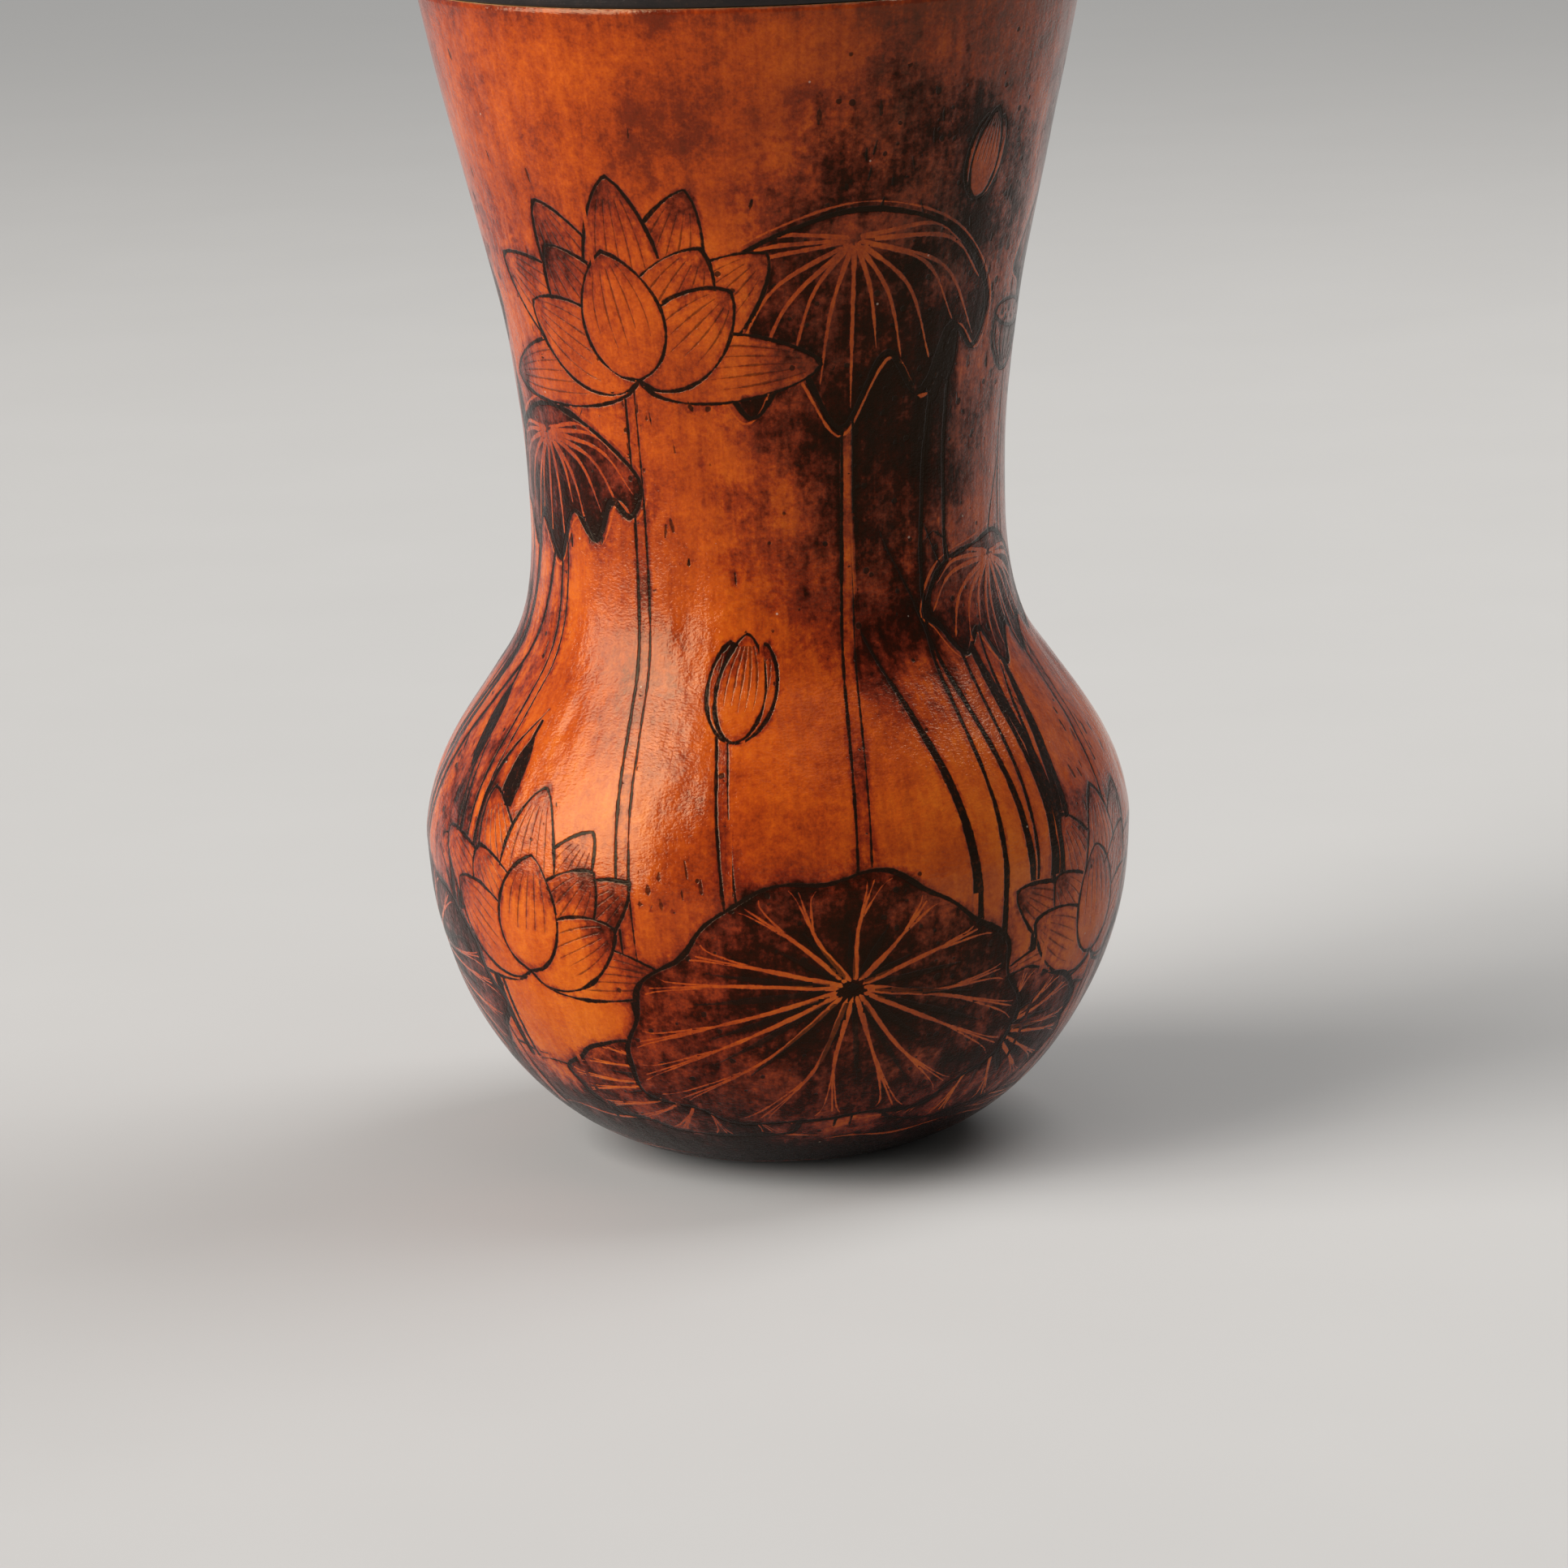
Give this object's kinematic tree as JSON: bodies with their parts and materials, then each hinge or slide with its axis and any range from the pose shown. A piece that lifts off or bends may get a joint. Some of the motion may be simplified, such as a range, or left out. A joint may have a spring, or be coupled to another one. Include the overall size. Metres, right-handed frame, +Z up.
{
  "type": "gourd cricket cage",
  "caption": "Bottle gourd cricket cage with a dark turned mouth ring, a brass sound coil in its throat and a lift-off lid with an openwork screen.",
  "frame": {"origin": "centre of the flat ring that the gourd stands on", "axes": "+Z up through the mouth, -Y towards the viewer of the picture, +X to the picture's right"},
  "size_m": [0.069, 0.069, 0.1291],
  "materials": {
    "lacquered_gourd": "amber gourd skin with scorched decoration under a half-gloss lacquer",
    "tamped_clay": "matt tamped clay and lime",
    "black_hardwood": "turned and waxed",
    "boxwood": "carved and waxed",
    "brass": "drawn, lightly tarnished"
  },
  "bodies": {
    "gourd": {"gourd_shell": "lacquered_gourd", "tamped_bed": "tamped_clay", "mouth_ring": "black_hardwood"},
    "coil": {"coil_hoop": "brass", "sound_coil": "brass"},
    "lid": {"lid_frame": "black_hardwood", "lid_screen": "boxwood", "lid_retaining_ring": "black_hardwood"}
  },
  "joints": [
    {"name": "coil_lift", "type": "slide", "parent": "gourd", "child": "coil", "axis": [0, 0, 1], "range_m": [0, 0.04]},
    {"name": "lid_lift", "type": "slide", "parent": "coil", "child": "lid", "axis": [0, 0, 1], "range_m": [0, 0.04]}
  ]
}
